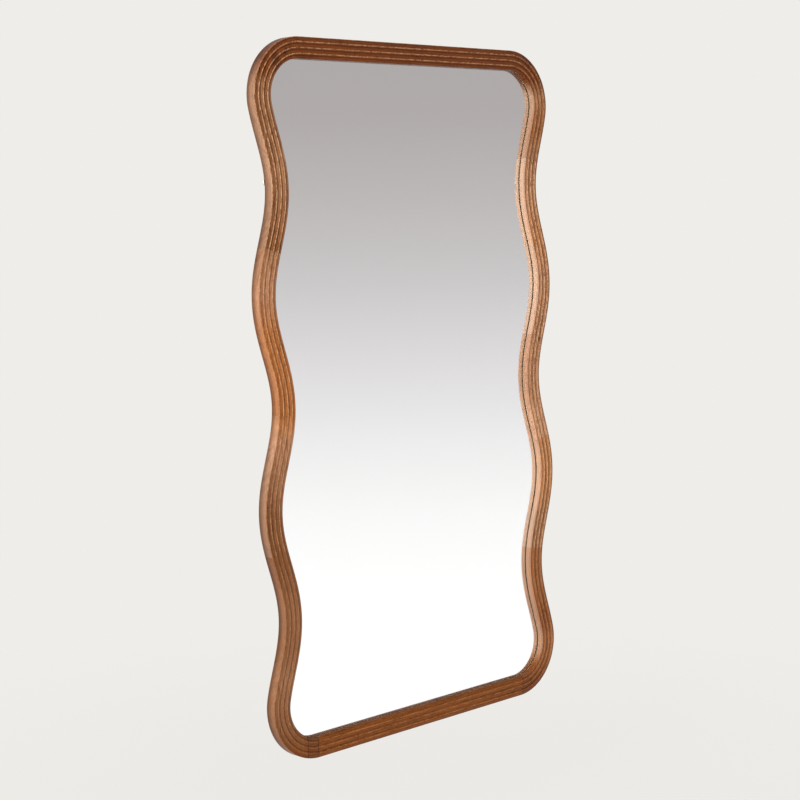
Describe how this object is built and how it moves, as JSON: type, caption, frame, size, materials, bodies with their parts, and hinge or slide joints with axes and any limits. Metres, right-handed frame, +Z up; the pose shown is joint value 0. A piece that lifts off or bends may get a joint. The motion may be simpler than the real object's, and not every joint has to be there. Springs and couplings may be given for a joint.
{
  "type": "wavy wall mirror",
  "caption": "Tall wall mirror with wavy sides, round corners and a reeded solid wood frame; it hangs on two D-rings on its back.",
  "frame": {"origin": "on the wall plane that the four bumpers touch, behind the middle of the mirror", "axes": "+X to the right seen from the front, +Y from the mirror into the wall, +Z up; the mirror faces -Y"},
  "size_m": [1, 0.0402, 1.7],
  "materials": {
    "rail_wood": "satin oiled brown hardwood, open pores along the length",
    "corner_wood": "satin oiled brown hardwood with knots",
    "stile_wood": "satin oiled brown hardwood, warmer boards",
    "dowel_wood": "plain beech",
    "mirror": "clear float glass, silvered behind",
    "backing_board": "brown hardboard",
    "zinc_steel": "bright zinc plated steel",
    "black_rubber": "matt black rubber"
  },
  "bodies": {
    "mirror": {"backing_board": "backing_board", "backing_screw_bottom_left_bend": "zinc_steel", "backing_screw_bottom_left_side": "zinc_steel", "backing_screw_bottom_rail_left": "zinc_steel", "backing_screw_bottom_rail_right": "zinc_steel", "backing_screw_bottom_right_bend": "zinc_steel", "backing_screw_bottom_right_side": "zinc_steel", "backing_screw_left_stile_lower": "zinc_steel", "backing_screw_left_stile_upper": "zinc_steel", "backing_screw_right_stile_lower": "zinc_steel", "backing_screw_right_stile_middle": "zinc_steel", "backing_screw_right_stile_upper": "zinc_steel", "backing_screw_top_left_bend": "zinc_steel", "backing_screw_top_left_side": "zinc_steel", "backing_screw_top_rail_left": "zinc_steel", "backing_screw_top_rail_right": "zinc_steel", "backing_screw_top_right_bend": "zinc_steel", "backing_screw_top_right_side": "zinc_steel", "bottom_rail": "rail_wood", "bumper_bottom_left": "black_rubber", "bumper_bottom_right": "black_rubber", "bumper_top_left": "black_rubber", "bumper_top_right": "black_rubber", "corner_bottom_left": "corner_wood", "corner_bottom_right": "corner_wood", "corner_top_left": "corner_wood", "corner_top_right": "corner_wood", "left_hanger_screw_lower": "zinc_steel", "left_hanger_screw_upper": "zinc_steel", "left_hanger_strap": "zinc_steel", "left_lower_inner_dowel": "dowel_wood", "left_lower_outer_dowel": "dowel_wood", "left_middle_inner_dowel": "dowel_wood", "left_middle_outer_dowel": "dowel_wood", "left_stile_lower": "stile_wood", "left_stile_upper": "stile_wood", "left_upper_inner_dowel": "dowel_wood", "left_upper_outer_dowel": "dowel_wood", "mirror_glass": "mirror", "right_hanger_screw_lower": "zinc_steel", "right_hanger_screw_upper": "zinc_steel", "right_hanger_strap": "zinc_steel", "right_lower_inner_dowel": "dowel_wood", "right_lower_middle_inner_dowel": "dowel_wood", "right_lower_middle_outer_dowel": "dowel_wood", "right_lower_outer_dowel": "dowel_wood", "right_stile_lower": "stile_wood", "right_stile_middle": "stile_wood", "right_stile_upper": "stile_wood", "right_upper_inner_dowel": "dowel_wood", "right_upper_middle_inner_dowel": "dowel_wood", "right_upper_middle_outer_dowel": "dowel_wood", "right_upper_outer_dowel": "dowel_wood", "setting_block_left": "black_rubber", "setting_block_right": "black_rubber", "top_rail": "rail_wood"},
    "left_ring": {"left_hanger_ring": "zinc_steel"},
    "right_ring": {"right_hanger_ring": "zinc_steel"}
  },
  "joints": [
    {"name": "left_ring_swing", "type": "hinge", "parent": "mirror", "child": "left_ring", "pos_m": [-0.4385, -0.0043, 0.526], "axis": [1, 0, 0], "range_deg": [0, 180]},
    {"name": "right_ring_swing", "type": "hinge", "parent": "mirror", "child": "right_ring", "pos_m": [0.4385, -0.0043, 0.526], "axis": [1, 0, 0], "range_deg": [0, 180]}
  ]
}
